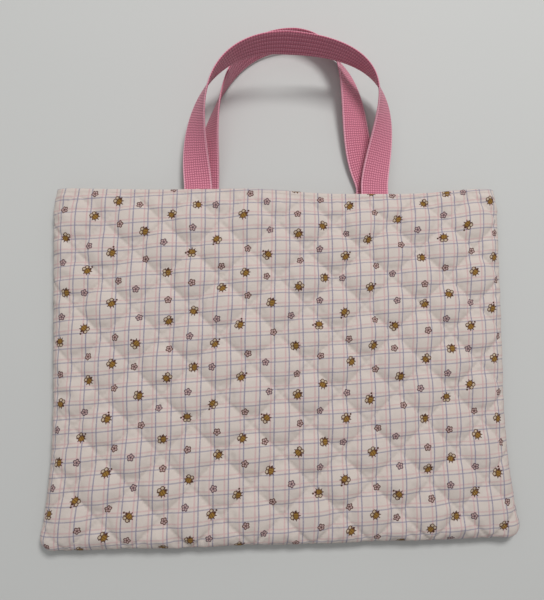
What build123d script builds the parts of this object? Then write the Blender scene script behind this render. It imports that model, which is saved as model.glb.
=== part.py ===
from build123d import *

import math
import os

# A flat quilted tote bag with two webbing handles, lying on its back panel.
# X runs across the bag, +Y from the bottom fold to the mouth and handles, and +Z
# is up, from the back panel (Z = 0) to the front panel. Millimetres.

# Plan shape of the bag
mouth_width = 391.0
waist_narrowing = 4.0
bottom_widening = 16.0
bag_height = 300.0
flare_height = 46.0
corner_radius = 9.0

# Cloth layers of one panel, from the outside in
face_thickness = 0.6
batting_thickness = 2.8
backing_thickness = 0.4
lining_thickness = 0.5
pocket_depth = 8.9

# Side and bottom edges
edge_width = 6.0
edge_round = 4.0
edge_gap = 0.4
seam_allowance = 10.0
allowance_thickness = 3.0

# Turned-in hem at the mouth
hem_depth = 28.0
hem_thickness = 2.4
edge_stitch_drop = 3.0
hem_stitch_rise = 3.0

# Handles
strap_width = 24.5
strap_thickness = 1.8
strap_tuck = 22.0
strap_stub = 0.6
strap_joint_gap = 0.6
strap_slot_clearance = 0.2

# Threads
thread = 0.4
quilt_line_width = 0.8
quilt_diamond = 50.0
quilt_rising_shift = -3.0
quilt_falling_shift = -7.0
quilt_margin = 2.0
tack_spacing = 6.0
tack_rows = 3

waist_width = mouth_width - waist_narrowing
bottom_width = mouth_width + bottom_widening
half_height = bag_height / 2
panel_thickness = face_thickness + batting_thickness + backing_thickness
total_thickness = 2 * (panel_thickness + lining_thickness) + pocket_depth
edge_corner_y = -half_height + edge_width
far = 2 * (bag_height + bottom_width)

# Each half of a handle is a curve through control points (x, y past the mouth,
# height of the strap's middle, roll in degrees). Roll 0 is a strap lying flat, and
# a growing roll lifts its inner edge. Both halves end at the same top point.
handle_start = strap_stub + strap_joint_gap
front_strap_z = total_thickness - panel_thickness - strap_thickness / 2
back_strap_z = panel_thickness + strap_thickness / 2
front_top = (6.0, 116.5, 46.0, 110.0)
front_left_half = [
    (-72.0, 0.0, front_strap_z, 0.0),
    (-72.0, 14.0, front_strap_z, 0.0),
    (-81.0, 60.0, 20.0, 75.0),
    (-73.0, 116.5, 50.0, 90.0),
    front_top,
]
front_right_half = [
    (85.0, 0.0, front_strap_z, 0.0),
    (85.0, 14.0, front_strap_z, 0.0),
    (94.0, 60.0, 18.0, 48.0),
    (123.0, 116.5, 37.0, 90.0),
    front_top,
]
back_top = (16.0, 138.0, 13.0, 115.0)
back_left_half = [
    (-66.0, 0.0, back_strap_z, 0.0),
    (-66.0, 14.0, back_strap_z, 0.0),
    (-62.0, 40.0, 15.5, 73.0),
    (-63.0, 138.0, 14.0, 116.0),
    back_top,
]
back_right_half = [
    (82.0, 0.0, back_strap_z, 0.0),
    (82.0, 22.0, back_strap_z, 0.0),
    (52.0, 24.0, 9.0, -15.0),
    (96.0, 138.0, 15.0, 50.0),
    back_top,
]
spans_per_half = 12


def block(low_x, high_x, low_y, high_y, low_z, high_z):
    """A box between two corners."""
    size = (high_x - low_x, high_y - low_y, high_z - low_z)
    centre = ((low_x + high_x) / 2, (low_y + high_y) / 2, (low_z + high_z) / 2)
    return Pos(*centre) * Box(*size)


def outline(inset, top):
    """The bag's plan shape, drawn in by `inset` at the sides and bottom, cut off at `top`."""
    overrun = 4 * edge_width
    mouth = mouth_width / 2 + overrun * (mouth_width - waist_width) / bag_height
    waist = (waist_width / 2, -half_height + flare_height)
    corner = (bottom_width / 2, -half_height)
    crown = (mouth, half_height + overrun)
    right = Line(crown, waist) + TangentArc([waist, corner], tangent=(0, -1))
    bottom = Line(corner, (-corner[0], corner[1]))
    left = mirror(right, about=Plane.YZ)
    close = Line((-crown[0], crown[1]), crown)
    shape = make_face([*right.edges(), *bottom.edges(), *left.edges(), *close.edges()])
    low_corners = shape.vertices().filter_by(lambda v: v.Y < -half_height + 1)
    shape = fillet(low_corners, corner_radius)
    if inset:
        shape = offset(shape, -inset, kind=Kind.INTERSECTION)
    keep = Pos(0, top - far / 2) * Rectangle(far, far)
    return shape & keep


def sheet(low_z, thickness, inset, top):
    """One flat layer of cloth."""
    return Pos(0, 0, low_z) * extrude(outline(inset, top), thickness)


def full_body():
    """The bag's whole outer shape, with its side and bottom edges rounded."""
    body = extrude(outline(0, half_height), total_thickness)
    flat_edges = body.edges().filter_by(
        lambda e: abs(e.center().Z - total_thickness / 2) > total_thickness / 2 - 0.01
    )
    rounded = flat_edges.filter_by(lambda e: e.center().Y < half_height - 0.01)
    return fillet(rounded, edge_round)


def closed_edges():
    """The left and right side seams and the bottom fold, cut apart at the bottom corners."""
    inner = Pos(0, 0, -1) * extrude(outline(edge_width, half_height + 1), total_thickness + 2)
    rim = full_body() - inner
    above = block(-far, far, edge_corner_y, far, -1, total_thickness + 1)
    sides = (rim & above).solids().sort_by(Axis.X)
    fold = rim - above
    return sides[0], sides[-1], fold


def quilting(low_z, inset):
    """A net of diamond stitch lines, as deep as the thread."""
    step = quilt_diamond / math.sqrt(2)
    count = math.ceil(bag_height / step) + 1
    lines = []
    for turn, shift in ((45, quilt_rising_shift), (-45, quilt_falling_shift)):
        for index in range(-count, count + 1):
            bar = Box(far, quilt_line_width, thread)
            offset = (index + 0.5) * step + shift / math.sqrt(2)
            lines.append(Rot(0, 0, turn) * Pos(0, offset, 0) * bar)
    net = lines[0].fuse(*lines[1:])
    area = outline(inset + quilt_margin, half_height - edge_stitch_drop - quilt_margin)
    return (Pos(0, 0, low_z + thread / 2) * net) & (Pos(0, 0, low_z) * extrude(area, thread))


def stitch_row(y, low_z, inset):
    """One straight row of topstitching across a panel."""
    half = mouth_width / 2 - inset - quilt_margin
    return block(-half, half, y - quilt_line_width / 2, y + quilt_line_width / 2, low_z, low_z + thread)


def strap_end(foot_x, middle_z):
    """The end of a handle, tucked into the mouth hem."""
    return block(
        foot_x - strap_width / 2,
        foot_x + strap_width / 2,
        half_height - strap_tuck,
        half_height + strap_stub,
        middle_z - strap_thickness / 2,
        middle_z + strap_thickness / 2,
    )


def strap_slot(foot_x, middle_z):
    """The space that a handle end takes in the hem."""
    reach = strap_width / 2 + strap_slot_clearance
    return block(
        foot_x - reach,
        foot_x + reach,
        half_height - strap_tuck - strap_slot_clearance,
        half_height + 1,
        middle_z - strap_thickness / 2,
        middle_z + strap_thickness / 2,
    )


def tacks(foot_x, low_z):
    """Rows of stitches that hold a handle end, seen inside the hem."""
    rows = []
    half = strap_width / 2 - quilt_margin
    for row in range(tack_rows):
        y = half_height - tack_spacing * (row + 1)
        rows.append(
            block(foot_x - half, foot_x + half, y, y + quilt_line_width, low_z, low_z + thread)
        )
    return rows


def hem(low_z, edge_low_z, edge_high_z, inset, feet, strap_z):
    """The cloth turned in at the mouth: a strip inside the panel and the fold that covers its edge."""
    area = outline(inset, half_height)
    strip_cut = Pos(0, half_height - hem_depth / 2) * Rectangle(far, hem_depth)
    strip = Pos(0, 0, low_z) * extrude(area & strip_cut, hem_thickness)
    fold_cut = Pos(0, half_height - face_thickness / 2) * Rectangle(far, face_thickness)
    fold = Pos(0, 0, edge_low_z) * extrude(area & fold_cut, edge_high_z - edge_low_z)
    turned = strip + fold
    for foot_x in feet:
        turned -= strap_slot(foot_x, strap_z)
    return turned


def panel(name, outer_z, inward, inset, feet, strap_z):
    """All the pieces of one quilted panel. `inward` is +1 where its inside faces up."""

    def span(depth, thickness):
        """Lowest height of a layer that starts at `depth` from the outside."""
        near = outer_z + inward * depth
        return min(near, near + inward * thickness)

    panel_top = half_height - face_thickness
    hem_bottom = half_height - hem_depth
    hem_depth_z = face_thickness + batting_thickness + backing_thickness
    hem_z = span(hem_depth_z, hem_thickness)
    net = quilting(span(0, thread), inset)
    edge_row = stitch_row(half_height - edge_stitch_drop, span(0, thread), inset)
    inner_row = stitch_row(
        hem_bottom + hem_stitch_rise, span(hem_depth_z + hem_thickness - thread, thread), inset
    )
    tack_z = span(hem_depth_z + hem_thickness - thread, thread)
    hand_tacks = [row for foot_x in feet for row in tacks(foot_x, tack_z)]
    edge_low = min(outer_z, outer_z + inward * (hem_depth_z + hem_thickness))
    edge_high = max(outer_z, outer_z + inward * (hem_depth_z + hem_thickness))
    turned = hem(hem_z, edge_low, edge_high, inset, feet, strap_z) - inner_row
    for row in hand_tacks:
        turned -= row
    face_cloth = sheet(span(0, face_thickness), face_thickness, inset, panel_top)
    return {
        name + "_face_cloth": face_cloth - net - edge_row,
        name + "_batting": sheet(
            span(face_thickness, batting_thickness), batting_thickness, inset, panel_top
        ),
        name + "_backing": sheet(
            span(face_thickness + batting_thickness, backing_thickness),
            backing_thickness,
            inset,
            panel_top,
        ),
        name + "_lining": sheet(
            span(hem_depth_z, lining_thickness), lining_thickness, inset, hem_bottom
        ),
        name + "_mouth_hem": turned,
        name + "_quilting_thread": net,
        name + "_mouth_topstitch": edge_row,
        name + "_hem_stitch": inner_row,
        name + "_handle_stitching": Compound(hand_tacks),
        name + "_handle_left_end": strap_end(feet[0], strap_z),
        name + "_handle_right_end": strap_end(feet[1], strap_z),
    }


def bezier(points, t):
    """The point at `t` of the curve drawn by the control points."""
    degree = len(points) - 1
    weights = [
        math.comb(degree, i) * (1 - t) ** (degree - i) * t**i for i in range(degree + 1)
    ]
    return [sum(w * p[axis] for w, p in zip(weights, points)) for axis in range(4)]


def strap_section(points, t, side):
    """The strap's cross-section at `t`, rolled about the way the strap runs."""
    small = 1e-4
    before = bezier(points, max(0, t - small))
    after = bezier(points, min(1, t + small))
    here = bezier(points, t)
    along = Vector(*(after[i] - before[i] for i in range(3))).normalized()
    level = Vector(along.X, along.Y, 0).normalized()
    inward = Vector(-side * level.Y, side * level.X, 0)
    roll = math.radians(here[3])
    across = inward * math.cos(roll) + Vector(0, 0, math.sin(roll))
    facing = (along - across * along.dot(across)).normalized()
    centre = Vector(here[0], half_height + handle_start + here[1], here[2])
    place = Plane(origin=centre, x_dir=across * -side, z_dir=facing * -side)
    return place * Rectangle(strap_width, strap_thickness)


def handle(left_half, right_half):
    """A handle loop, from its left foot over the top to its right foot."""
    steps = [index / spans_per_half for index in range(spans_per_half + 1)]
    sections = [strap_section(left_half, t, -1) for t in steps]
    sections += [strap_section(right_half, t, 1) for t in reversed(steps[:-1])]
    return loft(sections)


def allowance(edge_side):
    """The trimmed seam allowance inside a side seam."""
    low_z = total_thickness / 2 - allowance_thickness / 2
    outer = sheet(low_z, allowance_thickness, edge_width, half_height - hem_depth)
    inner = sheet(low_z, allowance_thickness, edge_width + seam_allowance, half_height)
    near_y = -half_height + edge_width + seam_allowance
    both = (outer - inner) & block(-far, far, near_y, far, -1, total_thickness + 1)
    return both.solids().sort_by(Axis.X)[edge_side]


left_seam, right_seam, bottom_fold = closed_edges()
front_feet = (front_left_half[0][0], front_right_half[0][0])
back_feet = (back_left_half[0][0], back_right_half[0][0])
pieces = {
    "left_side_seam": left_seam,
    "right_side_seam": right_seam,
    "left_seam_allowance": allowance(0),
    "right_seam_allowance": allowance(-1),
    "bottom_fold": bottom_fold,
    "front_handle": handle(front_left_half, front_right_half),
    "back_handle": handle(back_left_half, back_right_half),
}
pieces |= panel("front", total_thickness, -1, edge_width + edge_gap, front_feet, front_strap_z)
pieces |= panel("back", 0, 1, edge_width, back_feet, back_strap_z)

os.makedirs("parts", exist_ok=True)
for name, piece in pieces.items():
    piece.label = name
    export_step(piece, f"parts/{name}.step")
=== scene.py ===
import math

import bmesh
import bpy
import numpy as np
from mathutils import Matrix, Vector, noise


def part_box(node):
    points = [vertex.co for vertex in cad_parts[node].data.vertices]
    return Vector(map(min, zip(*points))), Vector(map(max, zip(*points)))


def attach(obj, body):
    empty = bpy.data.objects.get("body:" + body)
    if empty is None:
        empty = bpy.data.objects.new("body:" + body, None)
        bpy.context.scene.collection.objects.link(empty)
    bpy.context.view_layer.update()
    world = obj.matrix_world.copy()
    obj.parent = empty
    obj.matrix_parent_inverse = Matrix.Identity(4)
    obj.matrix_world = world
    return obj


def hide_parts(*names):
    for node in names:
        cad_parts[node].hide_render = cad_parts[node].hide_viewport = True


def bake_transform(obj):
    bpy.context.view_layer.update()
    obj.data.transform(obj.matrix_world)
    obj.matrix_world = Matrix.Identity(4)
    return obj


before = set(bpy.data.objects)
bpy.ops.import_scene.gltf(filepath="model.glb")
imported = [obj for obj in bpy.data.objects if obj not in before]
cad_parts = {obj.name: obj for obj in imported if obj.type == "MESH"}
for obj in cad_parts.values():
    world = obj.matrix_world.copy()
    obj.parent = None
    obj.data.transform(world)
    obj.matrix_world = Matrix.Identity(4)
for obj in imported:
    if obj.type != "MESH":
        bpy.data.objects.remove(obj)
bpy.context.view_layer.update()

# ---------------------------------------------------------------------------
# Printed outer cloth, front and back. Cotton quilted to thin wadding with
# diamonds of stitching, folded at the bottom, seamed up both sides and turned in
# at the mouth. The stitching pulls down and the wadding puffs up between.
# ---------------------------------------------------------------------------
fold_low, fold_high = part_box("bottom_fold")
hem_low, hem_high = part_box("front_mouth_hem")
edge_inset = 0.0012
mouth_y = hem_high.y
bottom_y = fold_low.y - 0.0046
top_z = fold_high.z
middle_z = top_z / 2
mouth_half = hem_high.x + 0.0064 - edge_inset
waist_half = mouth_half - 0.0010
corner_half = mouth_half + 0.0085
flare_height = 0.110
side_bulge = 0.0032
bulge_start = 0.020
corner_height = 0.014
corner_rounding = 0.0014
edge_roll = 0.0115
panel_sink = 0.0018
mouth_roll = (top_z - panel_sink - hem_low.z) / 2
hem_depth = hem_high.y - hem_low.y

grid_step = 0.0025
quilt_step = 0.050
quilt_rising_shift = -0.0025
quilt_falling_shift = -0.0075
cloth_half = 0.205


def half_width(y):
    """Half the bag's width at a height y: the sides swell below the hem and flare to the bottom corners."""
    from_mouth = np.clip((mouth_y - y) / (mouth_y - bottom_y - flare_height), 0, 1)
    straight = mouth_half + (waist_half - mouth_half) * from_mouth
    bulge = side_bulge * np.clip((mouth_y - y) / bulge_start, 0, 1) * (1 - from_mouth)
    flare = np.clip((bottom_y + flare_height - y) / flare_height, 0, 1)
    rounding = np.clip((bottom_y + corner_height - y) / corner_height, 0, 1)
    return straight + bulge + (corner_half - waist_half) * flare**2 - corner_rounding * rounding**2


def cloth_grid():
    """The panel's fabric coordinates: across from its middle, and up from y = 0."""
    count = round(cloth_half / grid_step)
    roll_length = edge_roll * math.pi / 2
    low = -round((abs(bottom_y) - edge_roll + roll_length) / grid_step)
    high = round((mouth_y - 2 * mouth_roll + mouth_roll * math.pi + hem_depth) / grid_step)
    return np.meshgrid(np.arange(-count, count + 1) * grid_step, np.arange(low, high + 1) * grid_step)


def slow_noise(x, y, size, seed):
    """Smooth noise from -1 to 1 that changes over about the given size."""
    points = np.stack([x.ravel() / size, y.ravel() / size], -1)
    values = [noise.noise(Vector((px, py, seed))) for px, py in points]
    return np.array(values).reshape(x.shape)


def mouth_dip(x):
    """How far the mouth edge sags below its straight line on the right half."""
    return 0.0048 * np.exp(-(((x - 0.080) / 0.075) ** 4)) + 0.0010 * np.exp(-(((x + 0.11) / 0.05) ** 2))


def cloth_place(across, up):
    """Where the front panel's cloth lies before it puffs. It is flat, rolled at the edges and turned in
    at the mouth."""
    roll_length = edge_roll * math.pi / 2
    flat_low = bottom_y + edge_roll
    down = np.sin(np.clip((flat_low - up) / roll_length, 0, 1) * math.pi / 2)
    half = half_width(np.maximum(up, flat_low) - edge_roll * down)
    spare = half - edge_roll + roll_length - cloth_half
    toward_side = np.clip((np.abs(across) - 0.09) / (cloth_half - 0.09), 0, 1)
    along = np.abs(across) + spare * toward_side**2
    flat_half = half - edge_roll
    out = np.sin(np.clip((along - flat_half) / roll_length, 0, 1) * math.pi / 2)
    x = np.sign(across) * (np.minimum(along, flat_half) + edge_roll * out * np.sqrt(1 - down**2 / 2))
    y = np.maximum(up, flat_low) - edge_roll * down * np.sqrt(1 - out**2 / 2)
    reach = out**2 * (1 - down**2 / 2) + down**2 * (1 - out**2 / 2)
    crown = np.sqrt(np.clip(1 - reach, 0, 1))
    roll_start = mouth_y - mouth_roll
    turned = np.clip((up - roll_start) / mouth_roll, 0, math.pi)
    past = np.clip(up - roll_start - mouth_roll * math.pi, 0, None)
    y = np.where(up > roll_start, roll_start + mouth_roll * np.sin(turned) - past, y)
    z = middle_z + (top_z - panel_sink - middle_z - mouth_roll * (1 - np.cos(turned))) * crown
    y = y + 0.0020 * np.clip((np.abs(x) - 0.188) / 0.016, 0, 1) ** 2 * np.clip((-0.10 - y) / 0.04, 0, 1)
    near_mouth = np.clip((y - 0.02) / (mouth_y - 0.02), 0, 1)
    y = y - mouth_dip(x) * near_mouth**1.5
    calm = np.clip((cloth_half - np.abs(across)) / 0.03, 0, 1) * np.clip((mouth_y - 0.006 - up) / 0.03, 0, 1)
    x = x + 0.0009 * slow_noise(across, up, 0.045, 1.5) * calm
    y = y + 0.0009 * slow_noise(across, up, 0.045, 5.5) * calm
    z = z + (0.0009 * slow_noise(across, up, 0.075, 9.5) - 0.0003) * calm
    return np.stack([x, y, z], -1)


def stitch_distances(across, up):
    """How far a fabric point is from the nearest quilting line in each direction."""
    found = []
    for line in (across + up - quilt_falling_shift, up - across - quilt_rising_shift):
        whole = np.round(line / quilt_step, 6) % 1 - 0.5
        found.append(np.abs(whole) * quilt_step / math.sqrt(2))
    return found


def outward(places):
    """The normals of a sheet of points."""
    normals = np.cross(np.gradient(places, axis=1), np.gradient(places, axis=0))
    return normals / (np.linalg.norm(normals, axis=-1, keepdims=True) + 1e-12)


def sheet_object(name, places, across, up):
    """A sheet through a grid of points. Its UVs are the fabric coordinates, laid out like the cut cloth."""
    rows, columns = across.shape
    index = np.arange(rows * columns).reshape(rows, columns)
    faces = np.stack([index[:-1, :-1], index[:-1, 1:], index[1:, 1:], index[1:, :-1]], -1).reshape(-1, 4)
    mesh = bpy.data.meshes.new(name)
    mesh.from_pydata(places.reshape(-1, 3).tolist(), [], faces.tolist())
    corners = np.stack([across.ravel(), up.ravel()], -1)[faces.ravel()]
    low = corners.min(0)
    packed = 0.01 + 0.98 * (corners - low) / (corners.max(0) - low).max()
    for layer_name, values in (("Fabric", corners), ("OFBake", packed)):
        layer = mesh.uv_layers.new(name=layer_name)
        layer.data.foreach_set("uv", values.astype(np.float32).ravel())
    mesh.polygons.foreach_set("use_smooth", [True] * len(faces))
    piece = bpy.data.objects.new(name, mesh)
    bpy.context.collection.objects.link(piece)
    return piece


def puffed_by_wadding(places, across, up, stitched):
    """The cloth pushed out by its wadding, held down along the stitching, as Blender's Cloth settles it."""
    piece = sheet_object("cloth_being_filled", places, across, up)
    held = piece.vertex_groups.new(name="stitched")
    held.add([int(i) for i in np.flatnonzero(stitched.ravel())], 1.0, "REPLACE")
    fullness = piece.vertex_groups.new(name="fullness")
    shares = np.clip(0.5 + 0.9 * slow_noise(across, up, 0.04, 20.5), 0, 1).ravel()
    for index, share in enumerate(shares):
        fullness.add([index], float(share), "REPLACE")
    cloth = piece.modifiers.new("Cloth", "CLOTH")
    settings = cloth.settings
    settings.vertex_group_mass = "stitched"
    settings.vertex_group_shrink = "fullness"
    settings.quality = 6
    settings.mass = 0.15
    settings.air_damping = 3.0
    settings.tension_stiffness = 25
    settings.compression_stiffness = 2.0
    settings.shear_stiffness = 3
    settings.bending_stiffness = 1.0
    settings.use_pressure = True
    settings.uniform_pressure_force = 16
    settings.shrink_min = -0.055
    settings.shrink_max = -0.020
    settings.effector_weights.gravity = 0
    cloth.collision_settings.use_collision = False
    cloth.collision_settings.use_self_collision = False
    cloth.point_cache.frame_start = 1
    cloth.point_cache.frame_end = 14
    for step in range(1, 15):
        bpy.context.scene.frame_set(step)
    shaped = piece.evaluated_get(bpy.context.evaluated_depsgraph_get()).data
    found = np.empty(len(shaped.vertices) * 3, np.float32)
    shaped.vertices.foreach_get("co", found)
    moved = found.reshape(places.shape) - places
    bpy.context.scene.frame_set(1)
    bpy.data.objects.remove(piece)
    furthest = 0.0048
    size = np.linalg.norm(moved, axis=-1, keepdims=True)
    return places + moved * np.minimum(1, furthest / np.maximum(size, 1e-9))


def finer(places, crease):
    """The sheet with twice the points each way, rounded everywhere but along the creases."""
    for axis in (0, 1):
        places = np.moveaxis(places, axis, 0)
        crease = np.moveaxis(crease, axis, 0)
        new = np.empty((2 * len(places) - 1, *places.shape[1:]))
        new[1::2] = (places[:-1] + places[1:]) / 2
        new[::2] = places
        give = np.where(crease[1:-1, :, None], 0.02, 0.125)
        new[2:-2:2] = places[1:-1] * (1 - 2 * give) + (places[:-2] + places[2:]) * give
        wider = np.zeros(new.shape[:-1], bool)
        wider[::2] = crease
        places = np.moveaxis(new, 0, axis)
        crease = np.moveaxis(wider, 0, axis)
    return places


across, up = cloth_grid()
flat_cloth = cloth_place(across, up)
near_falling, near_rising = stitch_distances(across, up)
stitched = np.minimum(near_falling, near_rising) < 0.0002
at_mouth = up > mouth_y - mouth_roll - 0.004
at_edge = (np.abs(across) > cloth_half - 0.001) | (up < up.min() + 0.001)
lane = quilt_step / math.sqrt(2)
pillow = np.sqrt(np.sin(math.pi * near_falling / lane) * np.sin(math.pi * near_rising / lane))
pillow = pillow * ~(at_mouth | at_edge)
lift = 0.0004
front_cloth = flat_cloth + outward(flat_cloth) * (lift * pillow)[..., None]
front_cloth = puffed_by_wadding(front_cloth, across, up, stitched | at_mouth | at_edge)
sideways = np.array([0.55, 0.75, 1.0])
edge_share = np.clip(np.maximum(np.abs(across) - 0.180, -0.128 - up) / 0.012, 0, 1)[..., None]
moved = front_cloth - flat_cloth
front_cloth = flat_cloth + moved * (1 - edge_share + edge_share * sideways)
groove = 0.0010 * np.exp(-((np.minimum(near_falling, near_rising) / 0.0012) ** 2)) * ~at_mouth
front_cloth = front_cloth - outward(front_cloth) * groove[..., None]
topstitch_up = mouth_y - 0.0038
near_topstitch = np.abs(up - topstitch_up)
front_cloth[..., 2] -= 0.0009 * np.exp(-((near_topstitch / 0.0014) ** 2))
fine_cloth = finer(front_cloth, stitched)
fine_across = finer(across[..., None], stitched)[..., 0]
fine_up = finer(up[..., None], stitched)[..., 0]


class Signal:
    """A shader value that takes part in plain arithmetic and becomes Math nodes."""

    def __init__(self, tree, socket):
        self.tree = tree
        self.socket = socket

    def math(self, operation, *others, clamp=False):
        step = self.tree.nodes.new("ShaderNodeMath")
        step.operation = operation
        step.use_clamp = clamp
        for place, value in zip(step.inputs, (self, *others)):
            if isinstance(value, Signal):
                self.tree.links.new(value.socket, place)
            else:
                place.default_value = value
        return Signal(self.tree, step.outputs[0])

    def __add__(self, other):
        return self.math("ADD", other)

    def __sub__(self, other):
        return self.math("SUBTRACT", other)

    def __mul__(self, other):
        return self.math("MULTIPLY", other)

    def __truediv__(self, other):
        return self.math("DIVIDE", other)

    def below(self, edge, soft):
        """1 under the edge, 0 above it, with a soft step."""
        return (self * (-1 / soft)).math("ADD", edge / soft + 0.5, clamp=True)

    def either(self, other):
        return self.math("MAXIMUM", other)


def connect(tree, place, value):
    """Puts a value, or a link, on a node's input."""
    if isinstance(value, Signal):
        value = value.socket
    if isinstance(value, bpy.types.NodeSocket):
        tree.links.new(value, place)
    else:
        place.default_value = value


def add_node(tree, kind, links=(), **settings):
    """A node with its settings, and its inputs given as {input: socket or value}."""
    made = tree.nodes.new(kind)
    for name, value in settings.items():
        setattr(made, name, value)
    for place, value in dict(links).items():
        connect(tree, made.inputs[place], value)
    return made


def new_group(name, inputs, outputs):
    """An empty shader node group with named inputs and outputs, and its two ends."""
    tree = bpy.data.node_groups.new(name, "ShaderNodeTree")
    for label, kind, value in inputs:
        socket = tree.interface.new_socket(name=label, in_out="INPUT", socket_type="NodeSocket" + kind)
        if value is not None:
            socket.default_value = value
    for label, kind in outputs:
        tree.interface.new_socket(name=label, in_out="OUTPUT", socket_type="NodeSocket" + kind)
    return tree, tree.nodes.new("NodeGroupInput"), tree.nodes.new("NodeGroupOutput")


def srgb(red, green, blue):
    """A colour given in display values from 0 to 255, as the linear colour that nodes take."""
    linear = []
    for value in (red, green, blue):
        value /= 255
        linear.append(value / 12.92 if value < 0.04045 else ((value + 0.055) / 1.055) ** 2.4)
    return (*linear, 1.0)


def mix_colour(tree, share, first, second):
    """The first colour turning into the second as the share goes from 0 to 1."""
    made = add_node(tree, "ShaderNodeMix", {0: share, 6: first, 7: second}, data_type="RGBA")
    return made.outputs[2]


def put_group(tree, group, links):
    """A node group placed in a material, with its own values."""
    made = tree.nodes.new("ShaderNodeGroup")
    made.node_tree = group
    for place, value in links.items():
        connect(tree, made.inputs[place], value)
    return made


def woven_cotton():
    """Plain weave: fine threads over and under, with slubs and small creases."""
    tree, start, end = new_group(
        "Woven cotton",
        [("Fabric", "Vector", None), ("Threads per metre", "Float", 1300.0), ("Creasing", "Float", 0.5)],
        [("Height", "Float"), ("Tone", "Float")],
    )
    split = add_node(tree, "ShaderNodeSeparateXYZ", {0: start.outputs["Fabric"]})
    turn = Signal(tree, start.outputs["Threads per metre"]) * math.pi
    warp = (Signal(tree, split.outputs[0]) * turn).math("SINE").math("ABSOLUTE")
    weft = (Signal(tree, split.outputs[1]) * turn).math("SINE").math("ABSOLUTE")
    slubs = add_node(tree, "ShaderNodeTexNoise", {0: start.outputs["Fabric"], "Scale": 900.0, "Detail": 3.0})
    crease_inputs = {0: start.outputs["Fabric"], "Scale": 130.0, "Detail": 5.0}
    creases = add_node(tree, "ShaderNodeTexNoise", crease_inputs)
    weave = warp * weft + Signal(tree, slubs.outputs[0]) * 0.8
    crease = Signal(tree, creases.outputs[0]) * Signal(tree, start.outputs["Creasing"])
    height = weave * 0.00011 + crease * 0.0014
    tree.links.new(height.socket, end.inputs["Height"])
    tree.links.new((weave * 0.55).math("MINIMUM", 1.0).socket, end.inputs["Tone"])
    return tree


def check_lines():
    """A printed check: a blue-grey line and a fainter pink line beside it, both ways."""
    tree, start, end = new_group(
        "Check lines",
        [("Fabric", "Vector", None), ("Across", "Float", 0.01235), ("Up", "Float", 0.01170)],
        [("Blue", "Float"), ("Pink", "Float")],
    )
    split = add_node(tree, "ShaderNodeSeparateXYZ", {0: start.outputs["Fabric"]})
    waver = add_node(tree, "ShaderNodeTexNoise", {0: start.outputs["Fabric"], "Scale": 30.0, "Detail": 1.0})
    shift = (Signal(tree, waver.outputs[0]) - 0.5) * 0.0010
    rub = add_node(tree, "ShaderNodeTexNoise", {0: start.outputs["Fabric"], "Scale": 700.0, "Detail": 2.0})
    worn = (Signal(tree, rub.outputs[0]) * 1.3 + 0.30).math("MINIMUM", 1.0)
    blue, pink = None, None
    for axis, label, line_at, pink_side in ((0, "Across", 0.0054, 0.0031), (1, "Up", 0.0092, -0.0029)):
        pitch = Signal(tree, start.outputs[label])
        place = Signal(tree, split.outputs[axis]) + shift - line_at
        line = place.math("PINGPONG", pitch * 0.5).below(0.00052, 0.0004)
        faint = (place + pink_side).math("PINGPONG", pitch * 0.5).below(0.00062, 0.0006)
        blue = line if blue is None else blue + line * 0.8
        pink = faint if pink is None else pink + faint * 0.8
    tree.links.new((blue * worn).math("MINIMUM", 1.0).socket, end.inputs["Blue"])
    tree.links.new((pink * worn).math("MINIMUM", 1.0).socket, end.inputs["Pink"])
    return tree


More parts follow.
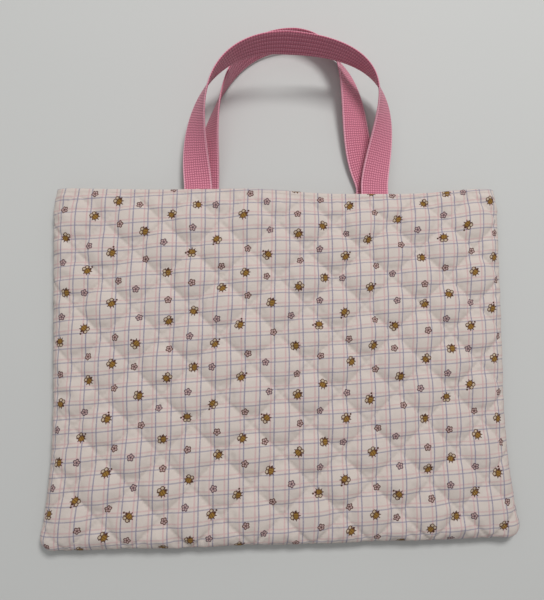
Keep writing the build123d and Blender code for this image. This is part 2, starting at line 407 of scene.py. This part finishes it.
def bees_and_blossoms():
    """Small bees and five-petalled blossoms, thirty to a repeat, each turned its own way. The repeat is a
    half drop: five places across, then three up."""
    tree, start, end = new_group(
        "Bees and blossoms",
        [("Fabric", "Vector", None), ("Across", "Float", 0.0222), ("Up", "Float", 0.0234)],
        [("Brown", "Float"), ("Plum", "Float"), ("Gold", "Float"), ("Wing", "Float"), ("Petal", "Float")],
    )
    split = add_node(tree, "ShaderNodeSeparateXYZ", {0: start.outputs["Fabric"]})
    width = Signal(tree, start.outputs["Across"])
    height = Signal(tree, start.outputs["Up"])
    across_cells = Signal(tree, split.outputs[0]) / width
    column = across_cells.math("FLOOR")
    up_cells = Signal(tree, split.outputs[1]) / height + column * 0.4
    row = up_cells.math("FLOOR")
    drop = (column / 5).math("FLOOR") * 5
    key_column = column.math("FLOORED_MODULO", 5.0)
    key_row = (row - drop).math("FLOORED_MODULO", 6.0)
    key = add_node(tree, "ShaderNodeCombineXYZ", {0: key_column, 1: key_row, 2: 3.7})
    dice = add_node(tree, "ShaderNodeTexWhiteNoise", {0: key.outputs[0]}, noise_dimensions="3D")
    throws = add_node(tree, "ShaderNodeSeparateColor", {0: dice.outputs["Color"]})
    shift_x, shift_y, turn = (Signal(tree, throws.outputs[i]) for i in range(3))
    chance = Signal(tree, dice.outputs["Value"])
    order = ((key_column + key_row) / 2).math("FRACT") + chance.below(0.10, 0.001)
    x = (across_cells - column - 0.5 - (shift_x - 0.5) * 0.36) * (width * 1000)
    y = (up_cells - row - 0.5 - (shift_y - 0.5) * 0.36) * (height * 1000)
    angle = turn * (2 * math.pi)
    cosine, sine = angle.math("COSINE"), angle.math("SINE")
    turned_x = x * cosine + y * sine
    turned_y = y * cosine - x * sine
    reach = (turned_x * turned_x + turned_y * turned_y).math("SQRT")
    bearing = turned_y.math("ARCTAN2", turned_x)

    def oval(centre_x, centre_y, wide, tall):
        """Distance in millimetres from the edge of an oval."""
        from_x = (turned_x - centre_x) / wide
        from_y = (turned_y - centre_y) / tall
        return ((from_x * from_x + from_y * from_y).math("SQRT") - 1) * min(wide, tall)

    lobes = (bearing * 2.5).math("COSINE").math("ABSOLUTE")
    rim = reach - (lobes * 0.95 + 1.85)
    petals = rim.below(0, 0.3)
    petal_rim = rim.math("ABSOLUTE").below(0.42, 0.3)
    spokes = (lobes * reach).below(0.55, 0.35) * petals
    heart = reach.below(0.75, 0.4)
    blossom = petal_rim.either(spokes * 0.9).either(heart)

    spikes = (bearing * 4.5 + 0.7).math("COSINE").math("ABSOLUTE")
    body = oval(0.0, -0.45, 3.0, 2.2)
    gold = body.below(0, 0.3)
    legs = (reach - (spikes.math("POWER", 3.0) * 2.6 + 1.9)).below(0, 0.35)
    stripes = turned_x.math("PINGPONG", 0.85).below(0.27, 0.35) * gold
    wings = oval(-1.45, 2.6, 1.5, 1.35).math("MINIMUM", oval(1.45, 2.7, 1.4, 1.3))
    wing_rim = wings.math("ABSOLUTE").below(0.32, 0.3)
    wing = wings.below(0, 0.3)
    open_side = gold.either(wing) * -1 + 1
    head = oval(2.9, -0.2, 1.0, 1.0).below(0, 0.3)
    dot = oval(5.1, 0.6, 0.85, 0.85).below(0, 0.3) * chance.below(0.45, 0.001)
    bee = (stripes * 0.8).either(body.math("ABSOLUTE").below(0.26, 0.35) * 0.85).either(wing_rim)
    bee = bee.either(head).either(dot).either(legs * open_side)

    is_bee = order.below(0.25, 0.001)
    is_blossom = is_bee * -1 + 1
    is_plum = (chance * 7).math("FRACT").below(0.55, 0.001) * is_blossom
    brown = bee * is_bee + blossom * (is_blossom - is_plum)
    tree.links.new(brown.socket, end.inputs["Brown"])
    tree.links.new((blossom * is_plum).socket, end.inputs["Plum"])
    tree.links.new((gold.either(legs * 0.55) * is_bee).socket, end.inputs["Gold"])
    tree.links.new((wing * is_bee).socket, end.inputs["Wing"])
    tree.links.new((petals * is_blossom).socket, end.inputs["Petal"])
    return tree


weave_group = woven_cotton()
check_group = check_lines()
motif_group = bees_and_blossoms()


def printed_cotton():
    """The printed cotton: a cream ground, its check and motifs, over a fine weave. The print runs a little
    off the grain, leaning to the right and rising to the right."""
    material = bpy.data.materials.new("printed cotton")
    material.use_nodes = True
    tree = material.node_tree
    shader = tree.nodes["Principled BSDF"]
    fabric = add_node(tree, "ShaderNodeUVMap", uv_map="Fabric").outputs[0]
    split = add_node(tree, "ShaderNodeSeparateXYZ", {0: fabric})
    straight_x, straight_y = Signal(tree, split.outputs[0]), Signal(tree, split.outputs[1])
    print_x = straight_x - straight_y * 0.0235
    print_y = straight_y - straight_x * 0.0575
    skewed = add_node(tree, "ShaderNodeCombineXYZ", {0: print_x, 1: print_y}).outputs[0]
    check = put_group(tree, check_group, {"Fabric": skewed})
    motifs = put_group(tree, motif_group, {"Fabric": skewed})
    weave = put_group(tree, weave_group, {"Fabric": fabric})
    cloud = add_node(tree, "ShaderNodeTexNoise", {0: fabric, "Scale": 16.0, "Detail": 3.0})
    colour = mix_colour(tree, cloud.outputs[0], srgb(217, 205, 195), srgb(211, 199, 192))
    colour = mix_colour(tree, Signal(tree, check.outputs["Pink"]) * 0.56, colour, srgb(204, 154, 158))
    colour = mix_colour(tree, Signal(tree, check.outputs["Blue"]) * 0.74, colour, srgb(120, 118, 148))
    colour = mix_colour(tree, motifs.outputs["Petal"], colour, srgb(186, 158, 154))
    colour = mix_colour(tree, motifs.outputs["Gold"], colour, srgb(150, 114, 50))
    colour = mix_colour(tree, motifs.outputs["Wing"], colour, srgb(196, 178, 154))
    colour = mix_colour(tree, motifs.outputs["Plum"], colour, srgb(88, 66, 76))
    colour = mix_colour(tree, motifs.outputs["Brown"], colour, srgb(84, 52, 42))
    tone = Signal(tree, weave.outputs["Tone"]) * 0.20 + 0.86
    toned = add_node(tree, "ShaderNodeVectorMath", {0: colour, 1: tone}, operation="MULTIPLY")
    tree.links.new(toned.outputs[0], shader.inputs["Base Color"])
    relief = {"Height": weave.outputs["Height"], "Distance": 1.0, "Strength": 0.9}
    bump = add_node(tree, "ShaderNodeBump", relief)
    tree.links.new(bump.outputs[0], shader.inputs["Normal"])
    shader.inputs["Roughness"].default_value = 0.9
    shader.inputs["Specular IOR Level"].default_value = 0.15
    shader.inputs["Sheen Weight"].default_value = 0.08
    shader.inputs["Sheen Roughness"].default_value = 0.5
    return material


cotton = printed_cotton()
middle_column = fine_across.shape[1] // 2
panel_halves = {"left": slice(0, middle_column + 1), "right": slice(middle_column, None)}


def follow_panel(piece):
    """Bakes the piece's placement into its mesh."""
    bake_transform(piece)


front_nodes = ["front_face_cloth", "front_batting", "front_backing", "front_mouth_hem"]
for side, columns in panel_halves.items():
    piece = sheet_object(
        "front_panel_" + side, fine_cloth[:, columns], fine_across[:, columns], fine_up[:, columns]
    )
    piece.data.materials.append(cotton)
    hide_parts(*front_nodes)
    follow_panel(piece)


def to_back(places):
    """A place on the front panel, carried through the bag to the back panel, which lies on the floor."""
    places = places * np.array([1, 1, -1]) + np.array([0, 0, top_z])
    places[..., 2] = np.maximum(places[..., 2], 0.0002)
    return places


back_cloth = to_back(front_cloth)
piece = sheet_object("back_panel", back_cloth[:, ::-1], across[:, ::-1], up[:, ::-1])
piece.data.materials.append(cotton)
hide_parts("back_face_cloth", "back_batting", "back_backing", "back_mouth_hem")
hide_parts("left_side_seam", "right_side_seam", "bottom_fold")
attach(piece, "back")

# ---------------------------------------------------------------------------
# Sewing thread. Small pale stitches: the quilting, a row of topstitching under
# the mouth edge, the hem's row inside, and the rows that hold the handles.
# ---------------------------------------------------------------------------
thread_radius = 0.00018
stitch_share = 0.74


def on_cloth(places, across_at, up_at):
    """Points and normals on a panel at the given fabric coordinates."""
    step = across[0, 1] - across[0, 0]
    column = (np.asarray(across_at) - across[0, 0]) / step
    row = (np.asarray(up_at) - up[0, 0]) / step
    left = np.clip(np.floor(column).astype(int), 0, across.shape[1] - 2)
    low = np.clip(np.floor(row).astype(int), 0, across.shape[0] - 2)
    right_share = (column - left)[..., None]
    high_share = (row - low)[..., None]
    found = []
    for grid in (places, outward(places)):
        lower = grid[low, left] * (1 - right_share) + grid[low, left + 1] * right_share
        upper = grid[low + 1, left] * (1 - right_share) + grid[low + 1, left + 1] * right_share
        found.append(lower * (1 - high_share) + upper * high_share)
    return found


def quilting_stitches():
    """Both ends of every quilting stitch, in fabric coordinates."""
    starts, ends = [], []
    top = topstitch_up - 0.003
    reach = cloth_half - 0.004
    diagonal = np.arange(-160, 160) * grid_step
    for line in range(-8, 9):
        for lean, shift in ((-1, quilt_falling_shift), (1, quilt_rising_shift)):
            crossing = (line + 0.5) * quilt_step + shift
            x, y = diagonal, crossing + lean * diagonal
            kept = (np.abs(x) < reach) & (y < top) & (y > up.min() + 0.004)
            starts.append(np.stack([x[kept], y[kept]], -1))
            run = grid_step * stitch_share
            ends.append(np.stack([x[kept] + run, y[kept] + lean * grid_step * stitch_share], -1))
    return np.concatenate(starts), np.concatenate(ends)


def stitch_row(left, right, up_at, pitch):
    """Both ends of the stitches in one straight row across the bag."""
    x = np.arange(left, right - pitch, pitch)
    y = np.full_like(x, up_at)
    return np.stack([x, y], -1), np.stack([x + pitch * stitch_share, y], -1)


def thread_object(name, places, rows, facing=1):
    """Every stitch of the rows as a short round thread that dips into the cloth at both ends."""
    starts = np.concatenate([row[0] for row in rows])
    ends = np.concatenate([row[1] for row in rows])
    start_at, start_up = on_cloth(places, starts[:, 0], starts[:, 1])
    end_at, end_up = on_cloth(places, ends[:, 0], ends[:, 1])
    away = start_up + end_up
    away *= facing / np.linalg.norm(away, axis=1, keepdims=True)
    along = end_at - start_at
    along /= np.linalg.norm(along, axis=1, keepdims=True)
    beside = np.cross(along, away)
    rings = []
    for share, size, height in ((0.0, 0.35, 0.0), (0.2, 1.0, 0.8), (0.8, 1.0, 0.8), (1.0, 0.35, 0.0)):
        centre = start_at * (1 - share) + end_at * share + away * thread_radius * height
        for turn in (45, 135, 225, 315):
            side = beside * math.cos(math.radians(turn)) + away * math.sin(math.radians(turn))
            rings.append(centre + side * thread_radius * size)
    points = np.stack(rings, 1)
    faces = [(3, 2, 1, 0), (12, 13, 14, 15)]
    for ring in range(3):
        for turn in range(4):
            after = (turn + 1) % 4
            faces.append((4 * ring + turn, 4 * ring + after, 4 * ring + 4 + after, 4 * ring + 4 + turn))
    count = len(points)
    all_faces = (np.array(faces)[None] + 16 * np.arange(count)[:, None, None]).reshape(-1, 4)
    mesh = bpy.data.meshes.new(name)
    mesh.from_pydata(points.reshape(-1, 3).tolist(), [], all_faces.tolist())
    mesh.polygons.foreach_set("use_smooth", [True] * len(all_faces))
    piece = bpy.data.objects.new(name, mesh)
    bpy.context.collection.objects.link(piece)
    return piece


def sewing_thread():
    """Pale twisted cotton thread."""
    material = bpy.data.materials.new("sewing thread")
    material.use_nodes = True
    tree = material.node_tree
    shader = tree.nodes["Principled BSDF"]
    place = add_node(tree, "ShaderNodeTexCoord").outputs["Object"]
    twist_inputs = {0: place, "Scale": 900.0, "Distortion": 1.0}
    twist = add_node(tree, "ShaderNodeTexWave", twist_inputs, bands_direction="DIAGONAL")
    colour = mix_colour(tree, twist.outputs[1], srgb(196, 180, 174), srgb(216, 204, 198))
    tree.links.new(colour, shader.inputs["Base Color"])
    relief = {"Height": twist.outputs[1], "Distance": 0.0001, "Strength": 0.5}
    bump = add_node(tree, "ShaderNodeBump", relief)
    tree.links.new(bump.outputs[0], shader.inputs["Normal"])
    shader.inputs["Roughness"].default_value = 0.7
    return material


thread = sewing_thread()
hem_stitch_up = mouth_y - 2 * mouth_roll + mouth_roll * math.pi + hem_depth - 0.005
turn_end = mouth_y - 2 * mouth_roll + mouth_roll * math.pi
tack_rows = [turn_end + distance for distance in (0.006, 0.012, 0.018)]
row_half = cloth_half - 0.010


def panel_rows(panel):
    """All the straight rows of one panel: topstitch, hem row and the handles' rows."""
    rows = [stitch_row(-row_half, row_half, topstitch_up, 0.0030)]
    rows.append(stitch_row(-row_half, row_half, hem_stitch_up, 0.0030))
    for side in ("left", "right"):
        low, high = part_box(f"{panel}_handle_{side}_end")
        for tack_up in tack_rows:
            rows.append(stitch_row(low.x + 0.002, high.x - 0.002, tack_up, 0.0030))
    return rows


quilting = quilting_stitches()
front_rows = [quilting, *panel_rows("front")]
for side, sign in (("left", -1), ("right", 1)):
    side_rows = []
    for starts, ends in front_rows:
        kept = (starts[:, 0] >= 0) == (sign > 0)
        side_rows.append((starts[kept], ends[kept]))
    piece = thread_object("front_thread_" + side, front_cloth, side_rows)
    piece.data.materials.append(thread)
    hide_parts("front_quilting_thread", "front_mouth_topstitch", "front_hem_stitch")
    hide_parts("front_handle_stitching")
    follow_panel(piece)

piece = thread_object("back_thread", back_cloth, [quilting, *panel_rows("back")], facing=-1)
piece.data.materials.append(thread)
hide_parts("back_quilting_thread", "back_mouth_topstitch", "back_hem_stitch")
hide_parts("back_handle_stitching")
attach(piece, "back")

# ---------------------------------------------------------------------------
# Lining. Plain pale cotton, one sheet inside each panel, caught under the mouth
# hem and in the side and bottom seams.
# ---------------------------------------------------------------------------
lining_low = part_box("front_lining")[0]
lining_gap = 0.0009
lining_top = mouth_y - hem_depth + 0.006
lining_inset = 0.007


def lining_sheet():
    """The front lining's places, on a coarser grid than the panel."""
    lining_across, lining_up = np.meshgrid(np.linspace(-1, 1, 81), np.linspace(0, 1, 61))
    y = bottom_y + lining_inset + lining_up * (lining_top - bottom_y - lining_inset)
    x = lining_across * (half_width(y) - lining_inset)
    slack = 0.0007 * slow_noise(x, y, 0.03, 31.5) * (1 - lining_across**4)
    z = np.full_like(x, lining_low.z + lining_gap) + slack
    return np.stack([x, y, z], -1), x, y


def lining_cotton():
    """Plain unprinted cotton, a little warmer than the print's ground."""
    material = bpy.data.materials.new("lining cotton")
    material.use_nodes = True
    tree = material.node_tree
    shader = tree.nodes["Principled BSDF"]
    fabric = add_node(tree, "ShaderNodeUVMap", uv_map="Fabric").outputs[0]
    weave = put_group(tree, weave_group, {"Fabric": fabric, "Creasing": 0.9})
    cloud = add_node(tree, "ShaderNodeTexNoise", {0: fabric, "Scale": 20.0, "Detail": 3.0})
    colour = mix_colour(tree, cloud.outputs[0], srgb(216, 204, 192), srgb(204, 190, 182))
    tone = Signal(tree, weave.outputs["Tone"]) * 0.14 + 0.90
    toned = add_node(tree, "ShaderNodeVectorMath", {0: colour, 1: tone}, operation="MULTIPLY")
    tree.links.new(toned.outputs[0], shader.inputs["Base Color"])
    relief = {"Height": weave.outputs["Height"], "Distance": 1.0, "Strength": 0.8}
    bump = add_node(tree, "ShaderNodeBump", relief)
    tree.links.new(bump.outputs[0], shader.inputs["Normal"])
    shader.inputs["Roughness"].default_value = 0.9
    shader.inputs["Specular IOR Level"].default_value = 0.15
    return material


lining = lining_cotton()
lining_places, lining_x, lining_y = lining_sheet()
lining_halves = {"left": slice(0, 41), "right": slice(40, None)}
for side, columns in lining_halves.items():
    piece = sheet_object(
        "front_lining_" + side, lining_places[:, columns], lining_x[:, columns], lining_y[:, columns]
    )
    piece.data.materials.append(lining)
    "front_panel_" + side
    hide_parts("front_lining")
    follow_panel(piece)

piece = sheet_object(
    "back_lining_sheet", to_back(lining_places)[:, ::-1], lining_x[:, ::-1], lining_y[:, ::-1]
)
piece.data.materials.append(lining)
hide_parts("back_lining")
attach(piece, "back")

# ---------------------------------------------------------------------------
# Seam allowances. The raw edges of both panels, pressed flat together inside the
# bag along each side seam.
# ---------------------------------------------------------------------------
def join_round(piece):
    """Joins a tube's first and last columns and closes its ends."""
    shell = bmesh.new()
    shell.from_mesh(piece.data)
    bmesh.ops.remove_doubles(shell, verts=shell.verts, dist=1e-6)
    bmesh.ops.holes_fill(shell, edges=[edge for edge in shell.edges if edge.is_boundary])
    shell.to_mesh(piece.data)
    shell.free()


# The flat width is half the girth of the modelled edge, about 9 mm wide by 3 mm thick.
for side in ("left", "right"):
    low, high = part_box(side + "_seam_allowance")
    rows, ring = 90, 16
    along_seam = np.linspace(low.y + 0.001, high.y - 0.001, rows)
    turn = np.linspace(0, 2 * math.pi, ring, endpoint=False)
    round_x = np.sign(np.cos(turn)) * np.abs(np.cos(turn)) ** 0.4
    round_z = np.sign(np.sin(turn)) * np.abs(np.sin(turn)) ** 0.6
    outer = half_width(along_seam) - 0.0075
    raw_edge = 0.0088 + 0.0006 * slow_noise(along_seam, along_seam * 0, 0.012, 41.5)
    lean = 0.0006 * slow_noise(along_seam, along_seam * 0, 0.04, 47.5)
    centre = outer - raw_edge / 2
    sign = -1 if side == "left" else 1
    x = sign * (centre[:, None] + round_x[None] * raw_edge[:, None] / 2)
    y = np.repeat(along_seam[:, None], ring, 1)
    z = middle_z + lean[:, None] + round_z[None] * (high.z - low.z) * 0.46
    places = np.stack([x, y, z], -1)[:, np.r_[0:ring, 0]]
    if sign < 0:
        places = places[:, ::-1]
    fabric_across = np.repeat(np.linspace(0, 0.024, ring + 1)[None], rows, 0)
    fabric_up = np.repeat(along_seam[:, None], ring + 1, 1)
    piece = sheet_object(side + "_raw_edges", places, fabric_across, fabric_up)
    join_round(piece)
    piece.data.materials.append(lining)
    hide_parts(side + "_seam_allowance")
    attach(piece, "back")

# ---------------------------------------------------------------------------
# Handles. Two lengths of ribbed pink webbing, each with both ends tucked into its
# panel's mouth hem. The front one arches over; the back one lies on its edge.
# ---------------------------------------------------------------------------
front_end_low, front_end_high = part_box("front_handle_left_end")
back_end_low, back_end_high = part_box("back_handle_left_end")
strap_width = front_end_high.x - front_end_low.x
strap_thickness = front_end_high.z - front_end_low.z
front_strap_z = (front_end_low.z + front_end_high.z) / 2
back_strap_z = (back_end_low.z + back_end_high.z) / 2
handle_start_y = mouth_y + 0.0012
tuck = 0.020

front_top = (0.006, 0.1165, 0.046, 110.0)
front_left_half = [
    (-0.072, 0.0, front_strap_z, 0.0),
    (-0.072, 0.014, front_strap_z, 0.0),
    (-0.081, 0.060, 0.020, 75.0),
    (-0.073, 0.1165, 0.050, 90.0),
    front_top,
]
front_right_half = [
    (0.085, 0.0, front_strap_z, 0.0),
    (0.085, 0.014, front_strap_z, 0.0),
    (0.094, 0.060, 0.018, 48.0),
    (0.123, 0.1165, 0.037, 90.0),
    front_top,
]
back_top = (0.016, 0.138, 0.013, 115.0)
back_left_half = [
    (-0.066, 0.0, back_strap_z, 0.0),
    (-0.066, 0.014, back_strap_z, 0.0),
    (-0.062, 0.040, 0.0155, 73.0),
    (-0.063, 0.138, 0.014, 116.0),
    back_top,
]
back_right_half = [
    (0.082, 0.0, back_strap_z, 0.0),
    (0.082, 0.022, back_strap_z, 0.0),
    (0.052, 0.024, 0.009, -15.0),
    (0.096, 0.138, 0.015, 50.0),
    back_top,
]


def bezier(points, shares):
    """Places and rolls along the curve that the control points draw."""
    degree = len(points) - 1
    points = np.array(points)
    line = np.zeros((len(shares), points.shape[1]))
    for index in range(degree + 1):
        weight = math.comb(degree, index) * (1 - shares) ** (degree - index) * shares**index
        line += weight[:, None] * points[index]
    return line


def strap_line(left_half, right_half):
    """The strap's middle line and its roll, from one tucked end to the other."""
    shares = np.linspace(0, 1, 120)
    left = bezier(left_half, shares)
    right = bezier(right_half, shares)
    left[:, 1] += handle_start_y
    right[:, 1] += handle_start_y
    inside = np.linspace(-tuck, -0.0022, 9)[:, None] * np.array([0, 1, 0, 0])
    return np.concatenate([left[0] + inside, left, right[-2::-1], right[0] + inside[::-1]])


def strap_section():
    """The webbing's section, round at both selvedges, with the distance round it."""
    turn = np.linspace(0, 2 * math.pi, 45)
    wide = np.sign(np.cos(turn)) * np.abs(np.cos(turn)) ** 0.22 * strap_width / 2
    thick = np.sign(np.sin(turn)) * np.abs(np.sin(turn)) ** 0.5 * strap_thickness / 2
    return wide, thick


def strap_object(name, left_half, right_half):
    """Webbing swept along its line. Its fabric coordinates run across one face and back over the other."""
    line = strap_line(left_half, right_half)
    along = np.gradient(line[:, :3], axis=0)
    along /= np.linalg.norm(along, axis=1, keepdims=True)
    level = along * np.array([1, 1, 0])
    level /= np.linalg.norm(level, axis=1, keepdims=True)
    inward = np.stack([level[:, 1], -level[:, 0], np.zeros(len(level))], -1)
    roll = np.radians(line[:, 3])[:, None]
    over = inward * np.cos(roll) + np.array([0, 0, 1]) * np.sin(roll)
    over -= along * (over * along).sum(1, keepdims=True)
    over /= np.linalg.norm(over, axis=1, keepdims=True)
    facing = np.cross(over, along)
    wide, thick = strap_section()
    places = line[:, None, :3] + over[:, None] * wide[None, :, None] + facing[:, None] * thick[None, :, None]
    lengths = np.linalg.norm(np.diff(line[:, :3], axis=0), axis=1)
    travelled = np.concatenate([[0], np.cumsum(lengths)])
    second_face = np.where(np.arange(len(wide)) > len(wide) // 2, 2 * strap_width - wide, wide)
    fabric_across = np.repeat(second_face[None], len(line), 0)
    fabric_up = np.repeat(travelled[:, None], len(wide), 1)
    piece = sheet_object(name, places, fabric_across, fabric_up)
    join_round(piece)
    return piece, float(travelled[-1])


def ribbed_webbing():
    """Woven webbing: rows of picks across it and columns of warp along it, with painted highlight on the
    yarns' crowns and painted shade between them, and a firmer selvedge with a painted highlight along it.
    The second face shows lengthwise stripes."""
    material = bpy.data.materials.new("pink webbing")
    material.use_nodes = True
    tree = material.node_tree
    shader = tree.nodes["Principled BSDF"]
    fabric = add_node(tree, "ShaderNodeUVMap", uv_map="Fabric").outputs[0]
    split = add_node(tree, "ShaderNodeSeparateXYZ", {0: fabric})
    across_strap = Signal(tree, split.outputs[0])
    along = Signal(tree, split.outputs[1])
    waver = add_node(tree, "ShaderNodeTexNoise", {0: fabric, "Scale": 300.0, "Detail": 2.0})
    jitter = (Signal(tree, waver.outputs[0]) - 0.5) * 0.0004
    column = ((across_strap + jitter) / 0.0020).math("FLOOR")
    stagger = column.math("MODULO", 2.0) * 0.0002
    picks = ((along + stagger + jitter) * (math.pi / 0.0021)).math("SINE").math("ABSOLUTE")
    ribs = ((across_strap + jitter) * (math.pi / 0.0020)).math("SINE").math("ABSOLUTE")
    bead = (picks * ribs).math("SQRT")
    second_face = (across_strap * -1).below(-strap_width * 0.75, 0.0005)
    stripes = (across_strap * (math.pi / 0.0041)).math("SINE").math("ABSOLUTE").below(0.5, 0.5)
    from_middle = across_strap.math("PINGPONG", strap_width).math("MULTIPLY", 1.0)
    # Painted highlight: a pale band along both edges of the first face, where the rounded selvedge catches
    # the light.
    selvedge_highlight = (from_middle * -1).below(-(strap_width / 2 - 0.0013), 0.0007) * (second_face * -1 + 1)
    fibre = add_node(tree, "ShaderNodeTexNoise", {0: fabric, "Scale": 2600.0, "Detail": 2.0})
    # The rows and columns are the weave's own pattern. The pale crowns and dark hollows between them are
    # painted highlight and painted shade.
    rib_highlight_and_shade = bead * 0.8 + Signal(tree, fibre.outputs[0]) * 0.3
    colour = mix_colour(tree, rib_highlight_and_shade, srgb(158, 66, 94), srgb(230, 144, 165))
    # Painted highlight along the selvedges.
    colour = mix_colour(tree, selvedge_highlight * 0.75, colour, srgb(234, 172, 188))
    colour = mix_colour(tree, second_face * stripes * 0.55, colour, srgb(168, 66, 92))
    tree.links.new(colour, shader.inputs["Base Color"])
    height = bead * 0.00055 + Signal(tree, fibre.outputs[0]) * 0.00005
    bump = add_node(tree, "ShaderNodeBump", {"Height": height, "Distance": 1.0, "Strength": 1.0})
    tree.links.new(bump.outputs[0], shader.inputs["Normal"])
    roughness = bead * -0.15 + 0.62
    tree.links.new(roughness.socket, shader.inputs["Roughness"])
    shader.inputs["Specular IOR Level"].default_value = 0.35
    shader.inputs["Sheen Weight"].default_value = 0.15
    return material


webbing = ribbed_webbing()
handles = {
    "front": (front_left_half, front_right_half, front_strap_z),
    "back": (back_left_half, back_right_half, back_strap_z),
}
for panel, (left_half, right_half, strap_z) in handles.items():
    piece, strap_length = strap_object(panel + "_handle_webbing", left_half, right_half)
    piece.data.materials.append(webbing)
    under = "front_panel_left" if panel == "front" else "back_panel"
    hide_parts(panel + "_handle", panel + "_handle_left_end", panel + "_handle_right_end")
    panel + "_handle"
    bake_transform(piece)

# ---------------------------------------------------------------------------
# Floor, light and camera. Plain pale paper under a large soft lamp above and
# beyond the bag, with even light from the room, seen from almost straight above.
# ---------------------------------------------------------------------------
floor_half = 4.0


def pale_paper():
    """Matt off-white paper with a faint mottle."""
    material = bpy.data.materials.new("pale paper")
    material.use_nodes = True
    tree = material.node_tree
    shader = tree.nodes["Principled BSDF"]
    place = add_node(tree, "ShaderNodeTexCoord").outputs["Object"]
    mottle = add_node(tree, "ShaderNodeTexNoise", {0: place, "Scale": 3.0, "Detail": 2.0})
    colour = mix_colour(tree, mottle.outputs[0], srgb(196, 196, 194), srgb(200, 200, 197))
    tree.links.new(colour, shader.inputs["Base Color"])
    shader.inputs["Roughness"].default_value = 0.95
    shader.inputs["Specular IOR Level"].default_value = 0.1
    return material


corners = [
    (-floor_half, -floor_half, 0),
    (floor_half, -floor_half, 0),
    (floor_half, floor_half, 0),
    (-floor_half, floor_half, 0),
]
floor_mesh = bpy.data.meshes.new("floor")
floor_mesh.from_pydata(corners, [], [(0, 1, 2, 3)])
floor = bpy.data.objects.new("floor", floor_mesh)
floor.data.materials.append(pale_paper())
bpy.context.collection.objects.link(floor)


def soft_lamp(name, power, size, place, aim):
    """A square area lamp that points at a place."""
    lamp = bpy.data.lights.new(name, "AREA")
    lamp.energy = power
    lamp.size = size
    lamp_object = bpy.data.objects.new(name, lamp)
    lamp_object.location = place
    direction = Vector(aim) - lamp_object.location
    lamp_object.rotation_euler = direction.to_track_quat("-Z", "Y").to_euler()
    bpy.context.collection.objects.link(lamp_object)


soft_lamp("window", 21.0, 0.48, (0.38, 1.00, 1.53), (0.02, 0.00, 0))
soft_lamp("ceiling", 3.0, 1.2, (-0.5, 0.2, 1.5), (0, 0.05, 0))
world = bpy.data.worlds.new("room")
bpy.context.scene.world = world
world.use_nodes = True
background = world.node_tree.nodes["Background"]
background.inputs[0].default_value = (0.97, 0.985, 1.0, 1)
background.inputs[1].default_value = 0.32

camera_data = bpy.data.cameras.new("camera")
camera_data.lens = 36
camera = bpy.data.objects.new("camera", camera_data)
camera.location = (-0.0358, -0.0067, 0.5292)
camera.rotation_euler = (math.radians(6.37), math.radians(-2.97), math.radians(-0.81))
bpy.context.collection.objects.link(camera)
bpy.context.scene.camera = camera
bpy.context.scene.view_settings.view_transform = "Standard"
